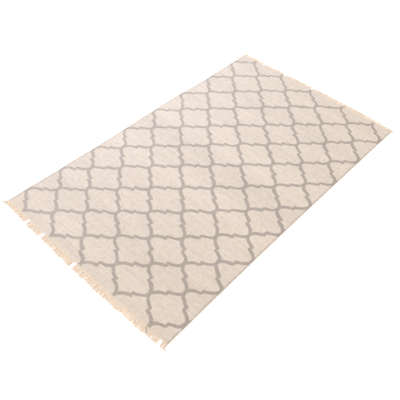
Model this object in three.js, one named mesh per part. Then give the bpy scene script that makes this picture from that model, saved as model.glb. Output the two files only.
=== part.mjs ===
// A hand-woven flatweave wool rug lying flat: the woven field, an overcast cord down each long side,
// and a fringe of warp ends at each short end.
// Millimetres, +Z up. X runs across the rug and Y along it, the origin is the centre of the underside,
// and everything rests on Z = 0. The near end is at -Y.
import * as THREE from 'three';

// Driving dimensions
const clothWidth = 1500;
const clothLength = 2500;
const clothThickness = 6;
const seatGap = 0.3;

const selvedgeWidth = 9;
const selvedgeHeight = 7;
const selvedgeFoot = 2.5;
const selvedgeShoulder = 0.45;
const selvedgeCurveSegments = 3;

const strandsAcross = 85;
const rootDepth = 4;
const strandLean = 3.5;
const strandLengthSpread = 4;

const sideSteps = 40;
const endSteps = 30;

// How far the long sides wander outward of the straight rectangle, at stations along the rug
const sideWander = [
  { along: -1250, left: 8, right: 4 },
  { along: -800, left: 2, right: -1 },
  { along: -400, left: -2, right: -4 },
  { along: 0, left: 4, right: -4 },
  { along: 300, left: 8, right: -2 },
  { along: 700, left: -6, right: 1 },
  { along: 1250, left: -3, right: 6 },
];

// The same for the two ends, at stations across the rug
const endWander = [
  { across: -750, near: 0, far: -8 },
  { across: -300, near: 5, far: -2 },
  { across: 150, near: 8, far: 2 },
  { across: 750, near: 2, far: -4 },
];

// Mean length of the fringe past the cloth, at stations across the rug
const fringeLength = [
  { across: -750, near: 33, far: 32 },
  { across: -450, near: 42, far: 28 },
  { across: 0, near: 46, far: 38 },
  { across: 450, near: 45, far: 40 },
  { across: 690, near: 42, far: 34 },
  { across: 750, near: 32, far: 18 },
];

// How far the strands near a corner sweep sideways to their tips
const fringeSweep = [
  { across: -750, near: -22, far: -20 },
  { across: -680, near: 0, far: 0 },
  { across: 680, near: 0, far: 0 },
  { across: 750, near: 18, far: 34 },
];

// Places across the rug where a strand has come away and the fringe is open
const nearGaps = [-520, -348, -36, 702];
const farGaps = [-530, -300, -24];

// One strand in plan: a knot at the root, a waist below it, a belly and a blunt tip.
// "out" is a share of the free length, "half" is half the width there and "height" its top.
const strandSections = [
  { out: 0, half: 3.2, height: 5 },
  { out: 0.1, half: 5.6, height: 6.5 },
  { out: 0.24, half: 3.8, height: 5 },
  { out: 0.62, half: 5.4, height: 4.4 },
  { out: 1, half: 3.2, height: 3.4 },
];

const wool = { color: 0xe3d6c6, roughness: 0.95, metalness: 0 };
const edgeWool = { color: 0xd6c6b4, roughness: 0.95, metalness: 0 };
const cotton = { color: 0xf3dcc0, roughness: 0.9, metalness: 0 };

// A table's value between its rows, eased so that the line has no corners
function between(table, station, column, at) {
  const next = table.findIndex((row) => row[station] >= at);
  if (next === 0) return table[0][column];
  if (next < 0) return table[table.length - 1][column];
  const low = table[next - 1];
  const high = table[next];
  const share = (at - low[station]) / (high[station] - low[station]);
  const eased = THREE.MathUtils.smoothstep(share, 0, 1);
  return THREE.MathUtils.lerp(low[column], high[column], eased);
}

// Where a point of the straight rug lies once its edges wander
function settle(x, y) {
  const side = between(sideWander, 'along', x < 0 ? 'left' : 'right', y);
  const end = between(endWander, 'across', y < 0 ? 'near' : 'far', x);
  return new THREE.Vector2(x * (1 + side / (clothWidth / 2)), y * (1 + end / (clothLength / 2)));
}

function settleGeometry(geometry) {
  const points = geometry.getAttribute('position');
  for (let i = 0; i < points.count; i += 1) {
    const placed = settle(points.getX(i), points.getY(i));
    points.setXY(i, placed.x, placed.y);
  }
  geometry.computeVertexNormals();
  return geometry;
}

// Evenly spaced values from one number to another, both included
function stations(from, to, steps) {
  return Array.from({ length: steps + 1 }, (_, i) => THREE.MathUtils.lerp(from, to, i / steps));
}

function pieceMesh(name, geometry, finish) {
  const mesh = new THREE.Mesh(geometry, new THREE.MeshStandardMaterial(finish));
  mesh.name = name;
  return mesh;
}

// The woven field between the side cords, one flat sheet
function wovenField() {
  const halfWidth = clothWidth / 2 - selvedgeWidth - seatGap;
  const halfLength = clothLength / 2;
  const across = stations(-halfWidth, halfWidth, endSteps);
  const along = stations(-halfLength, halfLength, sideSteps);
  const outline = [
    ...across.map((x) => settle(x, -halfLength)),
    ...along.slice(1).map((y) => settle(halfWidth, y)),
    ...across.slice(0, -1).reverse().map((x) => settle(x, halfLength)),
    ...along.slice(1, -1).reverse().map((y) => settle(-halfWidth, y)),
  ];
  const geometry = new THREE.ExtrudeGeometry(new THREE.Shape(outline), {
    depth: clothThickness,
    bevelEnabled: false,
  });
  return pieceMesh('woven_field', geometry, wool);
}

// A side cord: a rounded rib with a flat foot, as long as the cloth
function selvedge(name, side) {
  const half = selvedgeWidth / 2;
  const shoulder = selvedgeHeight * selvedgeShoulder;
  const section = new THREE.Shape();
  section.moveTo(-half + selvedgeFoot, 0);
  section.lineTo(half - selvedgeFoot, 0);
  section.quadraticCurveTo(half, 0, half, shoulder);
  section.quadraticCurveTo(half, selvedgeHeight, 0, selvedgeHeight);
  section.quadraticCurveTo(-half, selvedgeHeight, -half, shoulder);
  section.quadraticCurveTo(-half, 0, -half + selvedgeFoot, 0);
  const geometry = new THREE.ExtrudeGeometry(section, {
    depth: clothLength,
    steps: sideSteps,
    curveSegments: selvedgeCurveSegments,
    bevelEnabled: false,
  });
  geometry.rotateX(Math.PI / 2);
  geometry.translate(side * (clothWidth / 2 - half), clothLength / 2, 0);
  return pieceMesh(name, settleGeometry(geometry), edgeWool);
}

// A steady value between -1 and 1 for a strand, so that no two strands lie alike
function unevenness(index, salt) {
  const spun = Math.sin(index * 12.9898 + salt * 78.233) * 43758.5453;
  return 2 * (spun - Math.floor(spun)) - 1;
}

// The places of an end's strands from left to right in the fringe's own frame, whose "out" axis
// runs away from the cloth. At the near end that frame is the rug's, turned half round.
function strandsOf(end, turn, gaps) {
  const pitch = clothWidth / strandsAcross;
  return Array.from({ length: strandsAcross }, (_, i) => {
    const centre = -clothWidth / 2 + pitch * (i + 0.5);
    const across = turn * centre;
    const sweep = turn * between(fringeSweep, 'across', end, across);
    return {
      centre,
      lost: gaps.some((gap) => Math.abs(gap - across) <= pitch / 2),
      length: between(fringeLength, 'across', end, across) + strandLengthSpread * unevenness(i, turn),
      lean: sweep + strandLean * unevenness(i, turn + 2),
    };
  });
}

// A solid with a flat foot on the floor, from flat cells in plan. Each cell lists its points
// anticlockwise, a point is [x, y, height], and cells that touch share their points.
function footedSolid(cells) {
  const position = [];
  const foot = ([x, y]) => [x, y, 0];
  const addFace = (corners) => {
    for (let i = 2; i < corners.length; i += 1) {
      position.push(...corners[0], ...corners[i - 1], ...corners[i]);
    }
  };
  const edgesOf = (cell) => cell.map((point, i) => [point, cell[(i + 1) % cell.length]]);
  const edgeKey = (from, to) => `${from} to ${to}`;
  const edges = new Set(cells.flatMap(edgesOf).map(([from, to]) => edgeKey(from, to)));
  for (const cell of cells) {
    addFace(cell);
    addFace(cell.map(foot).reverse());
    for (const [from, to] of edgesOf(cell)) {
      if (!edges.has(edgeKey(to, from))) addFace([foot(from), foot(to), to, from]);
    }
  }
  const geometry = new THREE.BufferGeometry();
  geometry.setAttribute('position', new THREE.Float32BufferAttribute(position, 3));
  return geometry;
}

// One fringe: a narrow root strip along the cloth's end, and its strands standing out from it
function fringe(name, end, turn, gaps) {
  const pitch = clothWidth / strandsAcross;
  const { half: rootHalf, height: rootHeight } = strandSections[0];
  const cells = strandsOf(end, turn, gaps).flatMap(({ centre, lost, length, lean }, i) => {
    const left = -clothWidth / 2 + pitch * i;
    const right = -clothWidth / 2 + pitch * (i + 1);
    const rows = strandSections.map(({ out, half, height }) => {
      const middle = centre + lean * out ** 2;
      const y = THREE.MathUtils.lerp(rootDepth, length, out);
      return [[middle - half, y, height], [middle + half, y, height]];
    });
    const root = [
      [left, seatGap, rootHeight],
      [right, seatGap, rootHeight],
      [right, rootDepth, rootHeight],
      [centre + rootHalf, rootDepth, rootHeight],
      [centre - rootHalf, rootDepth, rootHeight],
      [left, rootDepth, rootHeight],
    ];
    const strand = rows.slice(1).map((row, j) => [rows[j][0], rows[j][1], row[1], row[0]]);
    return lost ? [root] : [root, ...strand];
  });
  const geometry = footedSolid(cells);
  geometry.translate(0, clothLength / 2, 0);
  if (turn < 0) geometry.rotateZ(Math.PI);
  return pieceMesh(name, settleGeometry(geometry), cotton);
}

const rug = new THREE.Group();
rug.add(wovenField());
rug.add(selvedge('selvedge_left', -1));
rug.add(selvedge('selvedge_right', 1));
rug.add(fringe('fringe_near', 'near', -1, nearGaps));
rug.add(fringe('fringe_far', 'far', 1, farGaps));

export default rug;
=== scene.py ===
# Dresses the flatweave wool rug: the woven field with its grey trellis, the overcast side cords and
# the knotted cotton fringes, lying on a plain pale floor.
# Metres, +Z up. X runs across the rug and Y along it, and the near end is at -Y.
import math

import bpy
import numpy as np
from mathutils import Matrix, Vector


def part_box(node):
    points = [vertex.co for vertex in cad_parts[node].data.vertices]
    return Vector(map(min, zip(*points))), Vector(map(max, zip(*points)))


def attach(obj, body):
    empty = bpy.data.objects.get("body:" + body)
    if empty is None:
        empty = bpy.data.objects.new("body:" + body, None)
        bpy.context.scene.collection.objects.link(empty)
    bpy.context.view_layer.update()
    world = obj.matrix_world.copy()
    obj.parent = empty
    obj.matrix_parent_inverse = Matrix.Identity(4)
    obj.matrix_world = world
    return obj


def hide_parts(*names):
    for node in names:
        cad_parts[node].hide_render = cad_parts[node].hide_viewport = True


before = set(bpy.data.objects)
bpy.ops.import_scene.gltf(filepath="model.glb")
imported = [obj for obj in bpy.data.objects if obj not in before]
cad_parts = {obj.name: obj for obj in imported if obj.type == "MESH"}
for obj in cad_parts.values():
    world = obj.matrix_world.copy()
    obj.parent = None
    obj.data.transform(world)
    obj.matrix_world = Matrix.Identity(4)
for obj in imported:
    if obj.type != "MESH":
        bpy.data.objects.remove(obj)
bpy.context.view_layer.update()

bl_info = {
    "name": "Flatweave trellis rug",
    "version": (1, 0, 0),
    "blender": (4, 5, 0),
    "location": "3D View > Sidebar > Rug",
    "description": "Weaves a flat wool rug with a trellis, cords its sides and knots its fringes",
    "category": "Add Mesh",
}

# Sizes that the solids fix
CLOTH_WIDTH = 1.5
CLOTH_LENGTH = 2.5
CLOTH_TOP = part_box("woven_field")[1].z
CORD_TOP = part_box("selvedge_left")[1].z
CORD_WIDTH = 0.009
SEAT_GAP = 0.0003
HALF_WIDTH = CLOTH_WIDTH / 2
HALF_LENGTH = CLOTH_LENGTH / 2
FIELD_HALF_WIDTH = HALF_WIDTH - CORD_WIDTH - SEAT_GAP

# How far the long sides wander outward of the straight rectangle, at stations along the rug
SIDE_WANDER = (
    {"along": -1.25, "left": 0.008, "right": 0.004},
    {"along": -0.8, "left": 0.002, "right": -0.001},
    {"along": -0.4, "left": -0.002, "right": -0.004},
    {"along": 0.0, "left": 0.004, "right": -0.004},
    {"along": 0.3, "left": 0.008, "right": -0.002},
    {"along": 0.7, "left": -0.006, "right": 0.001},
    {"along": 1.25, "left": -0.003, "right": 0.006},
)

# The same for the two ends, at stations across the rug
END_WANDER = (
    {"across": -0.75, "near": 0.0, "far": -0.008},
    {"across": -0.3, "near": 0.005, "far": -0.002},
    {"across": 0.15, "near": 0.008, "far": 0.002},
    {"across": 0.75, "near": 0.002, "far": -0.004},
)

# Mean length of the fringe past the cloth, at stations across the rug
FRINGE_LENGTH = (
    {"across": -0.75, "near": 0.033, "far": 0.032},
    {"across": -0.45, "near": 0.042, "far": 0.028},
    {"across": 0.0, "near": 0.046, "far": 0.038},
    {"across": 0.45, "near": 0.045, "far": 0.040},
    {"across": 0.69, "near": 0.042, "far": 0.034},
    {"across": 0.75, "near": 0.032, "far": 0.018},
)

# How far the strands near a corner sweep sideways to their tips
FRINGE_SWEEP = (
    {"across": -0.75, "near": -0.022, "far": -0.020},
    {"across": -0.68, "near": 0.0, "far": 0.0},
    {"across": 0.68, "near": 0.0, "far": 0.0},
    {"across": 0.75, "near": 0.018, "far": 0.034},
)

# Each end's place, and where a strand has come away
ENDS = (
    {"end": "near", "turn": -1, "gaps": (-0.520, -0.348, -0.036, 0.702)},
    {"end": "far", "turn": 1, "gaps": (-0.530, -0.300, -0.024)},
)

# The yarns of a strand: how deep in the cloth they start, how far past the knot they take to fan
# out, how softly they turn there, and how much each one differs in length and place
ROOT_DEPTH = 0.004
FAN_LENGTH = 0.008
KNOT_SOFTNESS = 0.3
FAN_SOFTNESS = 0.4
YARN_SHORTFALL = 0.003
YARN_LENGTH_LUCK = 0.004
YARN_PLACE_LUCK = 0.003

# Their points and twist in radians, and the frayed ends': their points, the share of the strand
# where they start, and how much wider they fan
YARN_STEPS = 14
YARN_TWIST = 18.0
WISP_STEPS = 8
WISP_START = 0.3
WISP_FAN = 1.3

# Heights and thicknesses in a strand, in radii of its yarn. Every second yarn lies a layer higher.
KNOT_HEIGHT = 1.3
KNOT_LAYER = 1.5
FLOOR_HEIGHT = 1.1
FLOOR_LAYER = 0.7
TIP_SINKING = 0.5
ROOT_THICKNESS = 1.1
YARN_TAPER = 0.35
WISP_THICKNESS = 0.2
LOOP_THICKNESS = 1.3
WAVE_WIDTH = 0.45

# A yarn's wave along its length, and how far its start differs from yarn to yarn, in radians
WAVE_TURN = 8.0
WAVE_LUCK = 9.0

# The two loops of a knot: their slants, how far they turn for each metre of the strand's lean, and
# the share of their width that the yarns fill
LOOP_SLANTS = (-0.5, 0.5)
LOOP_TURN = 40.0
LOOP_FILL = 0.8

# The section of a three-ply yarn, in radii: its crests, and how deep the grooves between them are
PLY_CREST = 1.08
PLY_GROOVE = 0.28

# The loose end of weft: its yarns, how far apart they lie in radii, how far they stray, their
# points and twist, and their way from inside the cloth's edge to their tips
LOOSE_YARNS = 3
LOOSE_SPACING = 1.8
LOOSE_STRAY = 0.1
LOOSE_STEPS = 20
LOOSE_TWIST = 12.0
LOOSE_SECTIONS = (
    {"out": -0.003, "height": 0.0056, "spread": 1.0, "drift": -0.001},
    {"out": 0.002, "height": 0.0070, "spread": 1.0, "drift": 0.0},
    {"out": 0.008, "height": 0.0078, "spread": 0.9, "drift": 0.005},
    {"out": 0.018, "height": 0.0066, "spread": 1.2, "drift": 0.016},
    {"out": 0.027, "height": 0.0058, "spread": 1.7, "drift": 0.029},
)

# The trellis as the weaver placed it: the width of each column of cells from the left, and the
# height of each row from the near end. The first and last ones run off the rug.
COLUMNS_START = -0.885
COLUMN_WIDTHS = (0.284, 0.291, 0.305, 0.311, 0.290, 0.290)
ROWS_START = -1.5333
ROW_HEIGHTS = (0.291, 0.291, 0.288, 0.311, 0.312, 0.316, 0.317, 0.327, 0.305, 0.305)
ROW_SKEW = 0.024
ROW_SKEW_POWER = 4

# One side of a cell, in cells: two soft bows whose pointed ends a short slanting step joins
BOW_SLOPE = 0.47
STEP_HALF = 0.055
STEP_SLANT = 0.35
STEP_SHARE = 0.6
BOW_HOOK = BOW_SLOPE / 2 - STEP_HALF
BOW_POWER = 3.15

# How often each change in the wool and the cotton repeats over a metre
STRAY_ACROSS_SCALE = 14.0
STRAY_ALONG_SCALE = 13.0
MOTTLE_SCALE = 40.0
BLUSH_SCALE = 75.0
STREAKS_ACROSS = 2.0
STREAKS_ALONG = 90.0
BANDS_ALONG = 3.5
PATCH_SCALE = 60.0
HEATHER_SCALE = 400.0
FUZZ_SCALE = 900.0
CORD_FUZZ_SCALE = 1200.0
FIBRE_SCALE = 1500.0

# Where along its noise the light and dark bands across the rug start
BANDS_START = 371.7

# What each change adds to the share of light fibres in the wool, to the height of the weave, and to
# the warmth of the cotton
HEATHER = {"start": -1.1, "mottle": 1.7, "stitch": 0.4, "streak": 1.1}
RELIEF = {"beads": 0.35, "fuzz": 0.3}
WARMTH = {"start": -0.17, "along": 0.75, "yarn": 0.25, "patches": 0.3, "fibres": 0.2}

# How fast the cotton's painted warm light, which stands for light that bounces between the yarns,
# grows along a strand: at 1 it would be warmest at the tip
WARMING = 2.2

# How pale the trellis is in the middle of the rug, from where its painted glare grows towards the
# left, and how much of it shows on the side cords
MIDDLE_PALENESS = 0.99
CORD_LINE_SHARE = 0.4

# The cloth's rolled ends: how far in from the edge, the share of the cloth's height there, and the
# face that its ribs stand on, 1 for the upper one
ROLLED_END = (
    {"inset": 0.0, "height": 0.5, "face": 0},
    {"inset": 0.0006, "height": 0.82, "face": 1},
    {"inset": 0.002, "height": 1.0, "face": 1},
    {"inset": 0.003, "height": 1.0, "face": 1},
    {"inset": 0.005, "height": 1.0, "face": 1},
)

# How wide the margin is where the cloth comes down to the floor
LIFT_MARGIN = 0.08

# A side cord: the steps of its line, how round its section is, where 1 is an oval, and how its
# wraps differ in slant and size
SIDE_STEPS = 120
CORD_ROUNDNESS = 0.75
WRAP_TURN_LUCK = 0.12
WRAP_SIZE = 0.97
WRAP_SIZE_LUCK = 0.04

# How far the floor lies under the rug, so that the two don't share a plane
FLOOR_DROP = 0.0002


def between(table, station, column, at):
    """A table's value between its rows, eased so that the line has no corners."""
    if at <= table[0][station]:
        return table[0][column]
    for low, high in zip(table, table[1:]):
        if at <= high[station]:
            share = (at - low[station]) / (high[station] - low[station])
            eased = share * share * (3 - 2 * share)
            return low[column] + (high[column] - low[column]) * eased
    return table[-1][column]


def settle(x, y):
    """Where a point of the straight rug lies once its edges wander."""
    side = between(SIDE_WANDER, "along", "left" if x < 0 else "right", y)
    end = between(END_WANDER, "across", "near" if y < 0 else "far", x)
    return x * (1 + side / HALF_WIDTH), y * (1 + end / HALF_LENGTH)


def unevenness(index, salt):
    """A steady value between -1 and 1 for a strand, so that no two strands lie alike."""
    spun = math.sin(index * 12.9898 + salt * 78.233) * 43758.5453
    return 2 * (spun - math.floor(spun)) - 1


class Reading:
    """One output of a node. Sums with it add Math nodes to the node's own tree."""

    def __init__(self, socket):
        self.socket = socket
        self.tree = socket.id_data

    def other(self, name):
        return Reading(self.socket.node.outputs[name])

    def __add__(self, value):
        return math_node("ADD", self, value)

    def __radd__(self, value):
        return math_node("ADD", value, self)

    def __sub__(self, value):
        return math_node("SUBTRACT", self, value)

    def __rsub__(self, value):
        return math_node("SUBTRACT", value, self)

    def __mul__(self, value):
        return math_node("MULTIPLY", self, value)

    def __truediv__(self, value):
        return math_node("DIVIDE", self, value)

    def __pow__(self, value):
        return math_node("POWER", self, value)

    def __abs__(self):
        return math_node("ABSOLUTE", self)

    def __lt__(self, value):
        return math_node("LESS_THAN", self, value)


def wire(socket, value):
    """Sets an input to a plain value, or links a reading to it."""
    if isinstance(value, Reading):
        value.tree.links.new(value.socket, socket)
    else:
        socket.default_value = value


def add_node(tree, kind, inputs=None, output=0, **choices):
    """Adds a node with its choices and inputs set, and reads one of its outputs."""
    made = tree.nodes.new(kind)
    for name, value in choices.items():
        setattr(made, name, value)
    for name, value in (inputs or {}).items():
        wire(made.inputs[name], value)
    return Reading(made.outputs[output])


def math_node(operation, *values):
    tree = next(value.tree for value in values if isinstance(value, Reading))
    return add_node(tree, "ShaderNodeMath", dict(enumerate(values)), operation=operation)


def vector(tree, x=0.0, y=0.0, z=0.0):
    return add_node(tree, "ShaderNodeCombineXYZ", {"X": x, "Y": y, "Z": z})


def shaded(painted, shade):
    """A colour, multiplied by a shade for each channel."""
    return add_node(
        painted.tree, "ShaderNodeVectorMath", {0: painted, 1: shade}, operation="MULTIPLY"
    )


def surface_number(tree, name):
    """The reading of a number that a mesh keeps at its points, in a material."""
    return add_node(tree, "ShaderNodeAttribute", output="Fac", attribute_name=name)


def split(reading):
    parts = add_node(reading.tree, "ShaderNodeSeparateXYZ", {"Vector": reading})
    return parts, parts.other("Y"), parts.other("Z")


def blend_colours(factor, first, second):
    """A mix of two colours, each a plain colour or a reading."""
    return add_node(
        factor.tree, "ShaderNodeMix", {0: factor, 6: first, 7: second}, output=2, data_type="RGBA"
    )


def noise(tree, place, scale, detail=2.0, roughness=0.5):
    """Soft noise between 0 and 1 at a place."""
    return add_node(
        tree,
        "ShaderNodeTexNoise",
        {"Vector": place, "Scale": scale, "Detail": detail, "Roughness": roughness},
    )


def spread(reading, low, high):
    """A reading from 0 to 1, stretched to run from low to high."""
    return reading * (high - low) + low


def colour(values):
    return (*values, 1.0)


# Materials

def new_material(name, roughness, sheen):
    """A cloth material, its shader and the reading of its Object coordinates."""
    material = bpy.data.materials.new(name)
    material.use_nodes = True
    tree = material.node_tree
    shader = tree.nodes["Principled BSDF"]
    shader.inputs["Roughness"].default_value = roughness
    shader.inputs["Specular IOR Level"].default_value = 0.2
    shader.inputs["Sheen Weight"].default_value = sheen
    shader.inputs["Sheen Roughness"].default_value = 0.6
    place = add_node(tree, "ShaderNodeTexCoord", output="Object")
    return material, shader, place


def cells_passed(place, start, sizes):
    """How many cells lie between start and a place, where the cells differ in size."""
    passed = 0.0
    edge = start
    for size in sizes:
        passed = passed + add_node(
            place.tree,
            "ShaderNodeMapRange",
            {"Value": place, "From Min": edge, "From Max": edge + size},
            clamp=True,
        )
        edge += size
    return passed


def trellis(x, y, line_width):
    """1 on the trellis line and 0 beside it, at a place on the rug."""
    bow = 1 - abs(y / HALF_LENGTH) ** ROW_SKEW_POWER
    straight = y - x * bow * (ROW_SKEW / CLOTH_WIDTH)
    column = cells_passed(x, COLUMNS_START, COLUMN_WIDTHS)
    row = cells_passed(straight, ROWS_START, ROW_HEIGHTS)
    across = math_node("PINGPONG", column + 0.5, 0.5)
    along = math_node("PINGPONG", row, 0.5)
    slant = across - along
    beside = across + along - 0.5
    leaning = slant + beside * STEP_SLANT
    bow_side = math_node("SIGN", leaning)
    away = bow_side * slant
    hooked = math_node("MAXIMUM", away * 2, 0.0)
    bow_line = bow_side * (away * BOW_SLOPE - STEP_HALF - hooked ** BOW_POWER * BOW_HOOK)
    steepness = BOW_SLOPE - hooked ** (BOW_POWER - 1) * (2 * BOW_POWER * BOW_HOOK)
    half_line = line_width / (sum(COLUMN_WIDTHS) / len(COLUMN_WIDTHS)) / math.sqrt(2)
    on_bow = abs(beside - bow_line) / math_node("SQRT", steepness * steepness + 1) < half_line
    half_step = half_line * STEP_SHARE * math.hypot(1, STEP_SLANT)
    on_step = (abs(leaning) < half_step) * (abs(beside) < STEP_HALF + half_line / 2)
    return math_node("MAXIMUM", on_bow, on_step)


def woven_colour(place, look, line_share=1.0):
    """The colour of the weave at a place: natural wool, and grey wool on the trellis line."""
    tree = place.tree
    stray_across = noise(tree, place, STRAY_ACROSS_SCALE, detail=1.0) - 0.5
    along_noise = noise(tree, place, STRAY_ALONG_SCALE, detail=1.0).other("Color")
    stray_along = split(along_noise)[1] - 0.5
    x, y, _ = split(place)
    warp = math_node("FLOOR", x / look.warp_pitch)
    pick = math_node("FLOOR", y / look.weft_pitch)
    on_line = trellis(
        (warp + 0.5) * look.warp_pitch + stray_across * look.line_wobble,
        (pick + 0.5) * look.weft_pitch + stray_along * look.line_wobble,
        look.line_width,
    )
    mottle = noise(tree, place, MOTTLE_SCALE, detail=4.0, roughness=0.75)
    stitch = add_node(tree, "ShaderNodeTexWhiteNoise", {"Vector": vector(tree, warp, pick)})
    streak = noise(tree, vector(tree, x * STREAKS_ACROSS, y * STREAKS_ALONG), 1.0)
    heather = (
        mottle * HEATHER["mottle"]
        + stitch * HEATHER["stitch"]
        + streak * HEATHER["streak"]
        + HEATHER["start"]
    )
    wool = blend_colours(heather, colour(look.wool_dark), colour(look.wool_light))
    grey = blend_colours(heather, colour(look.grey_dark), colour(look.grey_light))
    # Painted glare: the trellis grey is paler to the left, where the lamp shines from, and darker
    # to the right.
    pale = MIDDLE_PALENESS - x * look.painted_glare_across
    glared_grey = shaded(grey, vector(tree, pale, pale, pale))
    woven = blend_colours(on_line * line_share, wool, glared_grey)
    # Light and dark bands across the rug, one after another along its length
    band_place = vector(tree, 0.0, y * BANDS_ALONG + BANDS_START)
    bands = noise(tree, band_place, 1.0, roughness=0.6)
    shade = spread(bands, 1 - look.band_strength, 1 + look.band_strength)
    reds = noise(tree, place, BLUSH_SCALE, detail=3.0, roughness=0.7)
    blush = spread(reds, 1 - look.blush, 1 + look.blush)
    return shaded(woven, vector(tree, shade, shade, shade * blush))


def weave_height(place, look):
    """Rows of weft beads over the warps, each warp's beads half a pick beside its neighbour's."""
    x, y, _ = split(place)
    warp = x / look.warp_pitch
    odd = math_node("MODULO", abs(math_node("FLOOR", warp)), 2.0)
    beads = math_node("SINE", (y / look.weft_pitch + odd * 0.5) * (2 * math.pi))
    fuzz = noise(place.tree, place, FUZZ_SCALE)
    return beads * RELIEF["beads"] + fuzz * RELIEF["fuzz"]


def add_bump(shader, height, distance, strength):
    bump = add_node(
        height.tree,
        "ShaderNodeBump",
        {"Height": height, "Distance": distance, "Strength": strength},
    )
    wire(shader.inputs["Normal"], bump)


def woven_wool(look):
    """The weave's colours, with a band of pale cotton weft at each end."""
    material, shader, place = new_material("woven wool", roughness=0.92, sheen=0.15)
    along = surface_number(place.tree, "straight_along")
    in_band = math_node("GREATER_THAN", abs(along), HALF_LENGTH - look.end_band)
    banded = blend_colours(in_band, woven_colour(place, look), colour(look.end_cotton))
    wire(shader.inputs["Base Color"], banded)
    add_bump(shader, weave_height(place, look), distance=look.weft_pitch * 0.3, strength=0.5)
    return material


def grey_wool(look):
    """The trellis wool as loose yarn."""
    material, shader, place = new_material("grey wool", roughness=0.92, sheen=0.15)
    heather = noise(place.tree, place, HEATHER_SCALE, detail=3.0, roughness=0.6)
    greys = blend_colours(heather, colour(look.grey_light), colour(look.wool_dark))
    wire(shader.inputs["Base Color"], greys)
    return material


def edge_wool(look):
    """The side cords' wool: the weave's own colours, with painted shade that darkens them towards
    the floor.
    """
    material, shader, place = new_material("edge wool", roughness=0.94, sheen=0.1)
    tree = place.tree
    # Painted shade: the cords grow darker towards the floor, where their sides lie in shade.
    height = split(place)[2] / CORD_TOP
    painted_shade_factor = spread(math_node("MINIMUM", height, 1.0), 1 - look.painted_edge_shade, 1.0)
    woven = woven_colour(place, look, CORD_LINE_SHARE)
    wire(shader.inputs["Base Color"], shaded(woven, vector(tree, painted_shade_factor, painted_shade_factor, painted_shade_factor)))
    add_bump(shader, noise(tree, place, CORD_FUZZ_SCALE), distance=0.0004, strength=0.4)
    return material


def fringe_cotton(look):
    """Unbleached cotton, each yarn its own shade, pale at the knots and painted warmer along the
    strand for the light that bounces between its yarns.
    """
    material, shader, place = new_material("fringe cotton", roughness=0.9, sheen=0.35)
    tree = place.tree
    share = surface_number(tree, "share")
    # Painted light: the cotton warms along the strand, where light bounces between the yarns.
    along = math_node("MINIMUM", share * WARMING, 1.0)
    yarn = surface_number(tree, "chance") * WARMTH["yarn"]
    patches = noise(tree, place, PATCH_SCALE, detail=3.0, roughness=0.6)
    fibres = noise(tree, place, FIBRE_SCALE)
    # Painted light: the cotton is paler to the left, where the lamp is, and warmer to the right,
    # away from it.
    painted_light_tint = split(place)[0] * look.painted_cool_light
    warm = (
        (along - yarn) * WARMTH["along"]
        + patches * WARMTH["patches"]
        + fibres * WARMTH["fibres"]
        + painted_light_tint
        + WARMTH["start"]
    )
    cotton = blend_colours(warm, colour(look.cotton_light), colour(look.cotton_dark))
    wire(shader.inputs["Base Color"], cotton)
    add_bump(shader, fibres, distance=0.0003, strength=0.25)
    return material


# Meshes

def piece_from(name, vertices, faces, edges=()):
    mesh = bpy.data.meshes.new(name)
    mesh.from_pydata(vertices, edges, faces)
    mesh.validate()
    piece = bpy.data.objects.new(name, mesh)
    bpy.context.scene.collection.objects.link(piece)
    return piece


def store(piece, name, values):
    """Keeps one number for each point of a piece, for its node tree to read."""
    layer = piece.data.attributes.new(name, "FLOAT", "POINT")
    layer.data.foreach_set("value", np.asarray(values, np.float32))


def new_tree(name, sizes, counts=()):
    """A geometry tree with named inputs, and the reading of each."""
    tree = bpy.data.node_groups.new(name, "GeometryNodeTree")
    tree.interface.new_socket(name="Geometry", in_out="INPUT", socket_type="NodeSocketGeometry")
    for label in counts:
        tree.interface.new_socket(name=label, in_out="INPUT", socket_type="NodeSocketInt")
    for label in sizes:
        tree.interface.new_socket(name=label, in_out="INPUT", socket_type="NodeSocketFloat")
    tree.interface.new_socket(name="Material", in_out="INPUT", socket_type="NodeSocketMaterial")
    tree.interface.new_socket(name="Geometry", in_out="OUTPUT", socket_type="NodeSocketGeometry")
    group = tree.nodes.new("NodeGroupInput")
    return tree, {socket.name: Reading(socket) for socket in group.outputs if socket.name}


def end_tree(tree, made, material):
    """Closes a tree: its instances made real, smooth and given their material."""
    real = add_node(tree, "GeometryNodeRealizeInstances", {"Geometry": made})
    smooth = add_node(tree, "GeometryNodeSetShadeSmooth", {"Geometry": real})
    dressed = add_node(
        tree, "GeometryNodeSetMaterial", {"Geometry": smooth, "Material": material}
    )
    output = tree.nodes.new("NodeGroupOutput")
    wire(output.inputs["Geometry"], dressed)


def grow(piece, tree, inputs, material):
    """Runs a tree on a piece and keeps the result as its plain mesh."""
    modifier = piece.modifiers.new(tree.name, "NODES")
    modifier.node_group = tree
    values = {**inputs, "Material": material}
    for socket in tree.interface.items_tree:
        if socket.in_out == "INPUT" and socket.name in values:
            modifier[socket.identifier] = values[socket.name]
    depsgraph = bpy.context.evaluated_depsgraph_get()
    mesh = bpy.data.meshes.new_from_object(piece.evaluated_get(depsgraph))
    piece.modifiers.clear()
    piece.data = mesh
    if not mesh.polygons:
        raise RuntimeError(f"{piece.name} came out empty")
    mesh.materials.clear()
    mesh.materials.append(material)
    mesh.polygons.foreach_set("material_index", [0] * len(mesh.polygons))
    return piece


def number(tree, name):
    """The reading of a number that store kept."""
    return add_node(
        tree, "GeometryNodeInputNamedAttribute", {"Name": name}, data_type="FLOAT"
    )


def chance(tree, seed):
    """A random number between -1 and 1 for each point."""
    return add_node(tree, "FunctionNodeRandomValue", {2: -1.0, 3: 1.0, "Seed": seed}, output=1)


def circle(tree, points, radius):
    """A round curve: a yarn's section, or a ring to bend."""
    return add_node(
        tree, "GeometryNodeCurvePrimitiveCircle", {"Resolution": points, "Radius": radius}
    )


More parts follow.
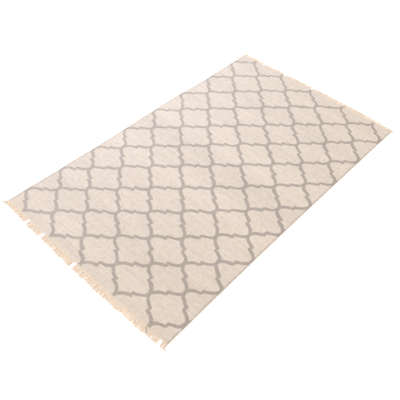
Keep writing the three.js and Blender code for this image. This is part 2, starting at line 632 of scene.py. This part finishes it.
def moved(geometry, **inputs):
    """A geometry with its points at a new Position, or moved by an Offset."""
    return add_node(geometry.tree, "GeometryNodeSetPosition", {"Geometry": geometry, **inputs})


def skinned(curve, profile, closed_ends=False):
    """The skin of a profile drawn along a curve."""
    return add_node(
        curve.tree,
        "GeometryNodeCurveToMesh",
        {"Curve": curve, "Profile Curve": profile, "Fill Caps": closed_ends},
    )


# The woven field

def field_grid(look):
    """The straight sheet as one closed skin: a ring of rows round it for each column."""
    ribs = round(2 * FIELD_HALF_WIDTH / look.warp_pitch)
    across = np.linspace(-FIELD_HALF_WIDTH, FIELD_HALF_WIDTH, ribs * look.columns_per_rib + 1)
    rows = np.linspace(-HALF_LENGTH, HALF_LENGTH, look.rows_along + 2)[1:-1]
    near = [(-HALF_LENGTH + row["inset"], row["height"], row["face"]) for row in ROLLED_END]
    far = [(-y, height, face) for y, height, face in reversed(near)]
    top = near + [(row, 1.0, 1) for row in rows] + far
    under = [(row, 1 - height, -face) for row, height, face in reversed(top[1:-1])]
    return across, top + under


def woven_field(look, material):
    """The sheet with its wandering edges, rolled ends and ribs."""
    across, ring = field_grid(look)
    around = len(ring)
    places, straight, faces_up = [], [], []
    for x in across:
        for y, height, face in ring:
            places.append((*settle(x, y), height * CLOTH_TOP))
            straight.append((x, y))
            faces_up.append(face)
    quads = []
    for i in range(len(across) - 1):
        for j in range(around):
            a, b = i * around + j, i * around + (j + 1) % around
            quads.append((b, a, a + around, b + around))
    last = (len(across) - 1) * around
    for j in range(around // 2):
        a, b, c, d = j, j + 1, around - 1 - j, (around - j) % around
        cap = tuple(dict.fromkeys((a, b, c, d)))
        if len(cap) >= 3:
            quads.append(cap)
            quads.append(tuple(last + k for k in reversed(cap)))
    piece = piece_from("woven_cloth", places, quads)
    store(piece, "straight_across", [x for x, _ in straight])
    store(piece, "straight_along", [y for _, y in straight])
    store(piece, "face", faces_up)
    return grow(piece, relief_tree(), {
        "Warp pitch": look.warp_pitch,
        "Rib depth": look.rib_depth,
        "Lift": look.lift,
        "Lift length": look.lift_length,
    }, material)


def relief_tree():
    """Raises a rib over each warp on both faces, and lets the cloth lift a little off the floor."""
    sizes = ("Warp pitch", "Rib depth", "Lift", "Lift length")
    tree, read = new_tree("woven relief", sizes)
    x = number(tree, "straight_across")
    y = number(tree, "straight_along")
    phase = (x + FIELD_HALF_WIDTH) / read["Warp pitch"] * (2 * math.pi)
    rib = (math_node("COSINE", phase) + 1) * read["Rib depth"] * -0.5
    lift_place = vector(tree, x / read["Lift length"], y / read["Lift length"])
    rise = noise(tree, lift_place, 1.0, detail=1.0)
    inside_x = math_node("MINIMUM", (FIELD_HALF_WIDTH - abs(x)) / LIFT_MARGIN, 1.0)
    inside_y = math_node("MINIMUM", (HALF_LENGTH - abs(y)) / LIFT_MARGIN, 1.0)
    lift = rise * inside_x * inside_y * read["Lift"]
    offset = vector(tree, 0.0, 0.0, number(tree, "face") * rib + lift)
    end_tree(tree, moved(read["Geometry"], Offset=offset), read["Material"])
    return tree


# The side cords

def side_cord(name, side, look, material):
    """The cord's own line, wrapped with yarn from end to end."""
    centre = side * (CLOTH_WIDTH - CORD_WIDTH) / 2
    stations = np.linspace(-HALF_LENGTH, HALF_LENGTH, SIDE_STEPS + 1)
    line = [(*settle(centre, y), 0.0) for y in stations]
    piece = piece_from(name, line, (), [(i, i + 1) for i in range(SIDE_STEPS)])
    return grow(piece, wrap_tree(), {
        "Wrap pitch": look.wrap_pitch,
        "Yarn radius": look.wrap_yarn,
        "Wrap slant": look.wrap_slant * side,
        "Unevenness": WRAP_TURN_LUCK,
    }, material)


def wrap_tree():
    """Rings of yarn along a line, each leaning over its neighbour, with a flat foot."""
    sizes = ("Wrap pitch", "Yarn radius", "Wrap slant", "Unevenness")
    tree, read = new_tree("overcast wraps", sizes)
    x, y, _ = split(add_node(tree, "GeometryNodeInputPosition"))
    yarn = read["Yarn radius"]
    squared_x = math_node("SIGN", x) * abs(x) ** CORD_ROUNDNESS
    squared_y = math_node("SIGN", y) * abs(y) ** CORD_ROUNDNESS
    section = vector(
        tree,
        squared_x * (CORD_WIDTH / 2 - yarn),
        0.0,
        (squared_y + 1) * (CORD_TOP / 2 - yarn) + yarn,
    )
    ring = moved(circle(tree, points=12, radius=1.0), Position=section)
    wrap = skinned(ring, circle(tree, points=6, radius=yarn))
    line = add_node(tree, "GeometryNodeMeshToCurve", {"Mesh": read["Geometry"]})
    places = add_node(
        tree,
        "GeometryNodeResampleCurve",
        {"Curve": line, "Length": read["Wrap pitch"]},
        mode="LENGTH",
    )
    tangent_x, tangent_y, _ = split(add_node(tree, "GeometryNodeInputTangent"))
    heading = math_node("ARCTAN2", tangent_y, tangent_x) - math.pi / 2
    luck = chance(tree, seed=3)
    turn = heading + read["Wrap slant"] + luck * read["Unevenness"]
    size = luck * WRAP_SIZE_LUCK + WRAP_SIZE
    wraps = add_node(
        tree,
        "GeometryNodeInstanceOnPoints",
        {
            "Points": places,
            "Instance": wrap,
            "Rotation": vector(tree, 0.0, 0.0, turn),
            "Scale": vector(tree, size, 1.0, size),
        },
    )
    end_tree(tree, wraps, read["Material"])
    return tree


# The fringes

def fringe(end, turn, gaps, look, material):
    """Every strand's root as a point, which the tree turns into yarns and a knot."""
    pitch = CLOTH_WIDTH / look.strands
    roots, reach, lean, breadth = [], [], [], []
    for i in range(look.strands):
        across = turn * (-HALF_WIDTH + pitch * (i + 0.5))
        if any(abs(gap - across) <= pitch / 2 for gap in gaps):
            continue
        mean = between(FRINGE_LENGTH, "across", end, across)
        roots.append((*settle(across, turn * HALF_LENGTH), 0.0))
        reach.append(mean + look.length_spread * unevenness(i, turn))
        sweep = turn * between(FRINGE_SWEEP, "across", end, across)
        lean.append(sweep + look.lean * unevenness(i, turn + 2))
        breadth.append(1 + look.corner_breadth * abs(sweep))
    piece = piece_from(f"knotted_fringe_{end}", roots, ())
    store(piece, "reach", reach)
    store(piece, "lean", lean)
    store(piece, "breadth", breadth)
    return grow(piece, strand_tree(), {
        "Yarns": look.yarns,
        "Wisps": look.wisps,
        "Yarn radius": look.yarn_radius,
        "Root half width": pitch / 2,
        "Fan half width": look.fan_half,
        "Knot place": look.knot_place,
        "Knot half width": look.knot_half,
        "Turn": float(turn),
    }, material)


def strand_tree():
    """Yarns that leave the cloth side by side, meet in a knot and fan out on the floor."""
    sizes = (
        "Yarn radius",
        "Root half width",
        "Fan half width",
        "Knot place",
        "Knot half width",
        "Turn",
    )
    tree, read = new_tree("knotted strands", sizes, counts=("Yarns", "Wisps"))
    points = add_node(tree, "GeometryNodeMeshToPoints", {"Mesh": read["Geometry"]})
    yarn = read["Yarn radius"]
    plied = lobed_profile(tree, yarn)
    thin = circle(tree, points=3, radius=yarn * WISP_THICKNESS)
    parts = (
        threads(tree, read, points, read["Yarns"], plied, YARN_STEPS, twist=YARN_TWIST),
        threads(tree, read, points, read["Wisps"], thin, WISP_STEPS, WISP_START, WISP_FAN),
        knots(tree, read, points),
    )
    everything = add_node(tree, "GeometryNodeJoinGeometry")
    for part in parts:
        wire(everything.socket.node.inputs["Geometry"], part)
    end_tree(tree, everything, read["Material"])
    return tree


def lobed_profile(tree, radius):
    """The section of a three-ply yarn."""
    odd = math_node("MODULO", add_node(tree, "GeometryNodeInputIndex"), 2.0)
    place = add_node(tree, "GeometryNodeInputPosition")
    pressed = add_node(
        tree,
        "ShaderNodeVectorMath",
        {0: place, "Scale": PLY_CREST - odd * PLY_GROOVE},
        operation="SCALE",
    )
    return moved(circle(tree, points=6, radius=radius), Position=pressed)


def kept(geometry, name, value):
    """Keeps a reading at every point of a geometry, under a name."""
    return add_node(
        geometry.tree,
        "GeometryNodeStoreNamedAttribute",
        {"Geometry": geometry, "Name": name, "Value": value},
        data_type="FLOAT",
        domain="POINT",
    )


def threads(tree, read, points, yarns, profile, steps, start=0.0, fan=1.0, twist=0.0):
    """Some yarns of each strand, from a share of its length to the tip, with their section."""
    copies = add_node(
        tree,
        "GeometryNodeDuplicateElements",
        {"Geometry": points, "Amount": yarns},
        domain="POINT",
    )
    numbered = kept(copies, "yarn", copies.other("Duplicate Index"))
    chanced = kept(numbered, "chance", chance(tree, seed=11))
    segment = add_node(tree, "GeometryNodeCurvePrimitiveLine", {"End": (0.0, 0.0, 0.001)})
    thread = add_node(tree, "GeometryNodeResampleCurve", {"Curve": segment, "Count": steps})
    placed = add_node(
        tree, "GeometryNodeInstanceOnPoints", {"Points": chanced, "Instance": thread}
    )
    real = add_node(tree, "GeometryNodeRealizeInstances", {"Geometry": placed})
    along = add_node(tree, "GeometryNodeSplineParameter") * (1 - start) + start
    shared = kept(real, "share", along)
    share = number(tree, "share")
    laid = moved(shared, Position=thread_path(tree, read, share, yarns, fan))
    thick = add_node(
        tree,
        "GeometryNodeSetCurveRadius",
        {"Curve": laid, "Radius": ROOT_THICKNESS - share * share * YARN_TAPER},
    )
    twisted = add_node(tree, "GeometryNodeSetCurveTilt", {"Curve": thick, "Tilt": share * twist})
    return skinned(twisted, profile, closed_ends=True)


def thread_path(tree, read, share, yarns, fan):
    """Where a yarn lies at a share of its length."""
    yarn = read["Yarn radius"]
    index = number(tree, "yarn")
    luck = number(tree, "chance")
    side = (index + 0.5) / yarns * 2 - 1
    upper = math_node("MODULO", index, 2.0)
    reach = number(tree, "reach") + ROOT_DEPTH + luck * YARN_LENGTH_LUCK - YARN_SHORTFALL
    out = share * reach - ROOT_DEPTH
    past_root = math_node("MAXIMUM", out / read["Knot place"], 0.0)
    into_knot = math_node("SMOOTH_MIN", past_root, 1.0, KNOT_SOFTNESS)
    past_knot = math_node("MAXIMUM", out - read["Knot place"], 0.0)
    fanned = math_node("SMOOTH_MIN", past_knot / FAN_LENGTH, 1.0, FAN_SOFTNESS)
    root_side = side * read["Root half width"]
    knot_side = side * read["Knot half width"] * LOOP_FILL
    breadth = number(tree, "breadth")
    free_side = side * read["Fan half width"] * breadth * fan + luck * YARN_PLACE_LUCK
    lateral = root_side + (knot_side - root_side) * into_knot + (free_side - knot_side) * fanned
    sway = number(tree, "lean") * share * share
    wave = math_node("SINE", share * WAVE_TURN + luck * WAVE_LUCK) * yarn * WAVE_WIDTH * fanned
    rooted = CLOTH_TOP / 2
    knotted = yarn * (KNOT_HEIGHT + upper * KNOT_LAYER)
    lying = yarn * (FLOOR_HEIGHT + upper * (FLOOR_LAYER - share * TIP_SINKING))
    height = (
        rooted
        + (knotted - rooted) * math_node("MINIMUM", past_root, 1.0)
        + (lying - knotted) * fanned
    )
    x, y, _ = split(add_node(tree, "GeometryNodeInputPosition"))
    return vector(
        tree,
        x + (lateral + sway + wave) * read["Turn"],
        y + out * read["Turn"],
        height,
    )


def knots(tree, read, points):
    """Two loops of yarn that cross over each strand where it is tied."""
    x, y, _ = split(add_node(tree, "GeometryNodeInputPosition"))
    thick = read["Yarn radius"] * LOOP_THICKNESS
    ring_path = vector(
        tree,
        x * read["Knot half width"],
        0.0,
        y * (CLOTH_TOP / 2 - thick) + CLOTH_TOP / 2,
    )
    ring = moved(circle(tree, points=10, radius=1.0), Position=ring_path)
    loop = skinned(ring, circle(tree, points=5, radius=thick))
    loops = add_node(tree, "GeometryNodeJoinGeometry")
    for slant in LOOP_SLANTS:
        turn = number(tree, "lean") * LOOP_TURN + slant
        turned = add_node(
            tree,
            "GeometryNodeInstanceOnPoints",
            {"Points": points, "Instance": loop, "Rotation": vector(tree, 0.0, 0.0, turn)},
        )
        wire(loops.socket.node.inputs["Geometry"], turned)
    real = add_node(tree, "GeometryNodeRealizeInstances", {"Geometry": loops})
    return moved(real, Offset=vector(tree, 0.0, read["Knot place"] * read["Turn"], 0.0))


# The loose end of grey weft that hangs from the trellis at the near end

def loose_weft(look, material):
    """A few grey yarns over the edge of the cloth, resting on the fringe."""
    edge = settle(look.loose_place, -HALF_LENGTH)
    points, edges = [], []
    for i in range(LOOSE_YARNS):
        beside = (i - (LOOSE_YARNS - 1) / 2) * look.loose_yarn * LOOSE_SPACING
        stray = unevenness(i, 7) * LOOSE_STRAY
        first = len(points)
        for row in LOOSE_SECTIONS:
            x = edge[0] + beside * row["spread"] + row["drift"] + stray * row["out"]
            points.append((x, edge[1] - row["out"], row["height"]))
        edges += [(k, k + 1) for k in range(first, len(points) - 1)]
    piece = piece_from("loose_grey_weft", points, (), edges)
    return grow(piece, yarn_tree(), {"Yarn radius": look.loose_yarn}, material)


def yarn_tree():
    """Twisted yarn along the lines of a piece."""
    tree, read = new_tree("loose yarn", ("Yarn radius",))
    line = add_node(tree, "GeometryNodeMeshToCurve", {"Mesh": read["Geometry"]})
    smooth = add_node(
        tree, "GeometryNodeCurveSplineType", {"Curve": line}, spline_type="CATMULL_ROM"
    )
    fine = add_node(tree, "GeometryNodeResampleCurve", {"Curve": smooth, "Count": LOOSE_STEPS})
    tilt = add_node(tree, "GeometryNodeSplineParameter") * LOOSE_TWIST
    twisted = add_node(tree, "GeometryNodeSetCurveTilt", {"Curve": fine, "Tilt": tilt})
    yarn = skinned(twisted, lobed_profile(tree, read["Yarn radius"]), closed_ends=True)
    end_tree(tree, yarn, read["Material"])
    return tree


# The studio

def pale_floor(studio):
    half = studio.floor_size / 2
    corners = [(-half, -half, 0.0), (half, -half, 0.0), (half, half, 0.0), (-half, half, 0.0)]
    floor = piece_from("floor", corners, [(0, 1, 2, 3)])
    material = bpy.data.materials.new("pale floor")
    material.use_nodes = True
    shader = material.node_tree.nodes["Principled BSDF"]
    shader.inputs["Base Color"].default_value = colour(studio.floor_colour)
    shader.inputs["Roughness"].default_value = 1.0
    shader.inputs["Specular IOR Level"].default_value = 0.0
    shader.inputs["Emission Color"].default_value = colour(studio.floor_colour)
    shader.inputs["Emission Strength"].default_value = studio.floor_glow
    floor.data.materials.append(material)
    floor.location.z = -FLOOR_DROP


def key_light(studio):
    """A soft square lamp that looks at the middle of the rug."""
    lamp = bpy.data.lights.new("key light", "AREA")
    lamp.size = studio.key_size
    lamp.energy = studio.key_power
    lamp.color = studio.key_colour
    light = bpy.data.objects.new("key light", lamp)
    light.location = studio.key_place
    light.rotation_euler = (-Vector(studio.key_place)).to_track_quat("-Z", "Y").to_euler()
    bpy.context.scene.collection.objects.link(light)


def surroundings(studio):
    world = bpy.data.worlds.new("pale room")
    world.use_nodes = True
    shade = world.node_tree.nodes["Background"]
    shade.inputs["Color"].default_value = colour(studio.room_colour)
    shade.inputs["Strength"].default_value = studio.room_strength
    bpy.context.scene.world = world


def photo_camera(studio):
    """The camera of the photograph, held a little askew."""
    data = bpy.data.cameras.new("camera")
    data.sensor_width = 36.0
    data.lens = studio.lens
    camera = bpy.data.objects.new("camera", data)
    heading = Matrix.Rotation(studio.camera_heading, 4, "Z")
    tilt = Matrix.Rotation(math.pi / 2 - studio.camera_tilt, 4, "X")
    roll = Matrix.Rotation(studio.camera_roll, 4, "Z")
    camera.matrix_world = Matrix.Translation(studio.camera_place) @ heading @ tilt @ roll
    bpy.context.scene.collection.objects.link(camera)
    bpy.context.scene.camera = camera


# Settings that a user may change

def length(name, description, default):
    return bpy.props.FloatProperty(
        name=name, description=description, default=default, min=0.0, unit="LENGTH", precision=5
    )


def amount(name, description, default, **kind):
    return bpy.props.FloatProperty(name=name, description=description, default=default, **kind)


def count(name, description, default, lowest=1):
    return bpy.props.IntProperty(name=name, description=description, default=default, min=lowest)


def spot(name, description, default):
    return bpy.props.FloatVectorProperty(
        name=name, description=description, default=default, subtype="TRANSLATION"
    )


def tint(name, description, default):
    return bpy.props.FloatVectorProperty(
        name=name,
        description=description,
        default=default,
        subtype="COLOR",
        size=3,
        min=0.0,
        max=1.0,
    )


class ClothSettings(bpy.types.PropertyGroup):
    """Sizes and colours of the weave and of the side cords"""

    warp_pitch: length("Warp pitch", "Distance between neighbouring warps", 0.0044)
    weft_pitch: length("Weft pitch", "Length that one pick of weft takes up", 0.0022)
    rib_depth: length("Rib depth", "Height of the rib over each warp", 0.0005)
    lift: length("Lift", "How far the cloth rises off the floor at most", 0.0015)
    lift_length: length("Lift length", "Size of the places where the cloth rises", 0.12)
    line_width: length("Line width", "Width of the trellis line", 0.0225)
    line_wobble: length("Line wobble", "How far the line strays from its true place", 0.022)
    wrap_pitch: length("Wrap pitch", "Distance between the side cord's wraps", 0.0032)
    wrap_yarn: length("Wrap yarn", "Radius of the side cord's yarn", 0.0019)
    wrap_slant: amount("Wrap slant", "Lean of the wraps", 0.3, subtype="ANGLE")
    loose_place: length("Loose weft place", "How far across the rug the loose weft hangs", 0.588)
    loose_yarn: length("Loose yarn", "Radius of one loose weft yarn", 0.0011)
    columns_per_rib: count("Columns per rib", "Mesh columns across one rib", 3, lowest=2)
    rows_along: count("Rows along", "Mesh rows along the cloth", 36, lowest=2)
    # How much lighter or darker the bands across the rug are
    band_strength: amount("Band strength", "Change of shade between dye lots", 0.11)
    # Painted glare of the lamp on the left, on the trellis grey
    painted_glare_across: amount("Painted glare", "How much the trellis pales over a metre to the left", 0.105)
    blush: amount("Blush", "How much the wool's warmth changes from place to place", 0.12)
    end_band: length("End band", "Width of the band of cotton weft at each end", 0.005)
    end_cotton: tint("End cotton", "Colour of the band of cotton weft", (0.79, 0.68, 0.57))
    # Painted shade on the cords' lower sides
    painted_edge_shade: amount("Painted edge shade", "How much the cords darken towards the floor", 0.25)
    wool_light: tint("Wool, light", "Natural wool's light fibres", (0.765, 0.67, 0.60))
    wool_dark: tint("Wool, dark", "Natural wool's dark fibres", (0.605, 0.51, 0.44))
    grey_light: tint("Grey, light", "Trellis wool's light fibres", (0.49, 0.425, 0.388))
    grey_dark: tint("Grey, dark", "Trellis wool's dark fibres", (0.38, 0.325, 0.289))


class FringeSettings(bpy.types.PropertyGroup):
    """Sizes and colours of the knotted fringes"""

    strands: count("Strands", "Strand places at each end", 85)
    yarns: count("Yarns", "Yarns in one strand", 11)
    wisps: count("Wisps", "Frayed ends in one strand", 4)
    yarn_radius: length("Yarn radius", "Radius of one yarn", 0.00095)
    fan_half: length("Fan half width", "Half width of a strand on the floor", 0.0092)
    knot_place: length("Knot place", "Distance of the knot from the cloth", 0.0072)
    knot_half: length("Knot half width", "Half width of the knot's loops", 0.0060)
    length_spread: length("Length spread", "How much the strands differ in length", 0.004)
    lean: length("Lean", "How far a strand's tip drifts sideways", 0.0035)
    corner_breadth: amount(
        "Corner breadth", "How much wider a strand fans for each metre of sweep", 13.0
    )
    # Painted light of the lamp on the left, on the cotton
    painted_cool_light: amount("Painted cool light", "How much the cotton pales over a metre to the left", 0.25)
    cotton_light: tint("Cotton, light", "Fringe yarn where it is pale", (0.96, 0.82, 0.68))
    cotton_dark: tint("Cotton, dark", "Fringe yarn where it is warm", (1.0, 0.78, 0.61))


class StudioSettings(bpy.types.PropertyGroup):
    """The floor, the light and the camera"""

    floor_size: length("Floor size", "Side of the floor", 16.0)
    floor_colour: tint("Floor colour", "Colour of the floor", (0.95, 0.95, 0.95))
    floor_glow: amount("Floor glow", "Light that comes up through the floor", 0.3)
    room_colour: tint("Room colour", "Colour of the room's light", (1.0, 0.952, 0.851))
    room_strength: amount("Room strength", "Brightness of the room's light", 1.0)
    key_place: spot("Key place", "Place of the main lamp", (-3.0, 0.3, 3.0))
    key_size: length("Key size", "Side of the main lamp", 2.0)
    key_power: amount("Key power", "Power of the main lamp", 103.0, unit="POWER")
    key_colour: tint("Key colour", "Colour of the main lamp", (0.62, 0.75, 1.0))
    camera_place: spot("Camera place", "Place of the camera", (1.691, -2.153, 2.684))
    camera_tilt: amount(
        "Camera tilt", "How far the camera looks down", math.radians(48.53), subtype="ANGLE"
    )
    camera_heading: amount(
        "Camera heading",
        "Turn of the camera from the rug's length",
        math.radians(40.21),
        subtype="ANGLE",
    )
    camera_roll: amount("Camera roll", "Roll of the camera", math.radians(3.28), subtype="ANGLE")
    lens: amount("Lens", "Focal length on a 36 mm wide sensor", 46.94)


class RugSettings(bpy.types.PropertyGroup):
    """All settings of the rug"""

    cloth: bpy.props.PointerProperty(type=ClothSettings)
    fringe: bpy.props.PointerProperty(type=FringeSettings)
    studio: bpy.props.PointerProperty(type=StudioSettings)


# Operators

class RUG_OT_fringes(bpy.types.Operator):
    """Knot the fringe at each end"""

    bl_idname = "rug.fringes"
    bl_label = "Knot the fringes"

    def execute(self, context):
        look = context.scene.rug.fringe
        material = fringe_cotton(look)
        for row in ENDS:
            piece = fringe(**row, look=look, material=material)
            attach(piece, "root")
            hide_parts(f"fringe_{row['end']}")
        return {"FINISHED"}


class RUG_OT_side_cords(bpy.types.Operator):
    """Wrap the cord along each long side"""

    bl_idname = "rug.side_cords"
    bl_label = "Wrap the side cords"

    def execute(self, context):
        look = context.scene.rug.cloth
        material = edge_wool(look)
        for name, side in (("left", -1), ("right", 1)):
            piece = side_cord(f"overcast_{name}", side, look, material)
            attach(piece, "root")
            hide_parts(f"selvedge_{name}")
        return {"FINISHED"}


class RUG_OT_loose_weft(bpy.types.Operator):
    """Hang the loose end of grey weft over the near edge"""

    bl_idname = "rug.loose_weft"
    bl_label = "Hang the loose weft"

    def execute(self, context):
        look = context.scene.rug.cloth
        piece = loose_weft(look, grey_wool(look))
        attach(piece, "root")
        return {"FINISHED"}


class RUG_OT_woven_field(bpy.types.Operator):
    """Weave the field with its trellis"""

    bl_idname = "rug.woven_field"
    bl_label = "Weave the field"

    def execute(self, context):
        look = context.scene.rug.cloth
        piece = woven_field(look, woven_wool(look))
        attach(piece, "root")
        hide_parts("woven_field")
        return {"FINISHED"}


class RUG_OT_studio(bpy.types.Operator):
    """Set up the floor, the light and the camera"""

    bl_idname = "rug.studio"
    bl_label = "Set up the studio"

    def execute(self, context):
        studio = context.scene.rug.studio
        pale_floor(studio)
        surroundings(studio)
        key_light(studio)
        photo_camera(studio)
        context.scene.view_settings.view_transform = "Standard"
        return {"FINISHED"}


OPERATORS = (
    RUG_OT_studio,
    RUG_OT_fringes,
    RUG_OT_side_cords,
    RUG_OT_loose_weft,
    RUG_OT_woven_field,
)


class RUG_PT_panel(bpy.types.Panel):
    """Lists the steps and the settings of the rug"""

    bl_label = "Rug"
    bl_space_type = "VIEW_3D"
    bl_region_type = "UI"
    bl_category = "Rug"

    def draw(self, context):
        for operator in OPERATORS:
            self.layout.operator(operator.bl_idname)
        for group in ("cloth", "fringe", "studio"):
            settings = getattr(context.scene.rug, group)
            box = self.layout.box()
            for name in settings.bl_rna.properties.keys():
                if name not in ("name", "rna_type"):
                    box.prop(settings, name)


CLASSES = (ClothSettings, FringeSettings, StudioSettings, RugSettings, *OPERATORS, RUG_PT_panel)


def register():
    for kind in CLASSES:
        bpy.utils.register_class(kind)
    bpy.types.Scene.rug = bpy.props.PointerProperty(type=RugSettings)


def unregister():
    del bpy.types.Scene.rug
    for kind in reversed(CLASSES):
        bpy.utils.unregister_class(kind)


def main():
    register()
    bpy.ops.rug.studio()
    bpy.ops.rug.fringes()
    bpy.ops.rug.side_cords()
    bpy.ops.rug.loose_weft()
    bpy.ops.rug.woven_field()


if __name__ == "__main__":
    main()
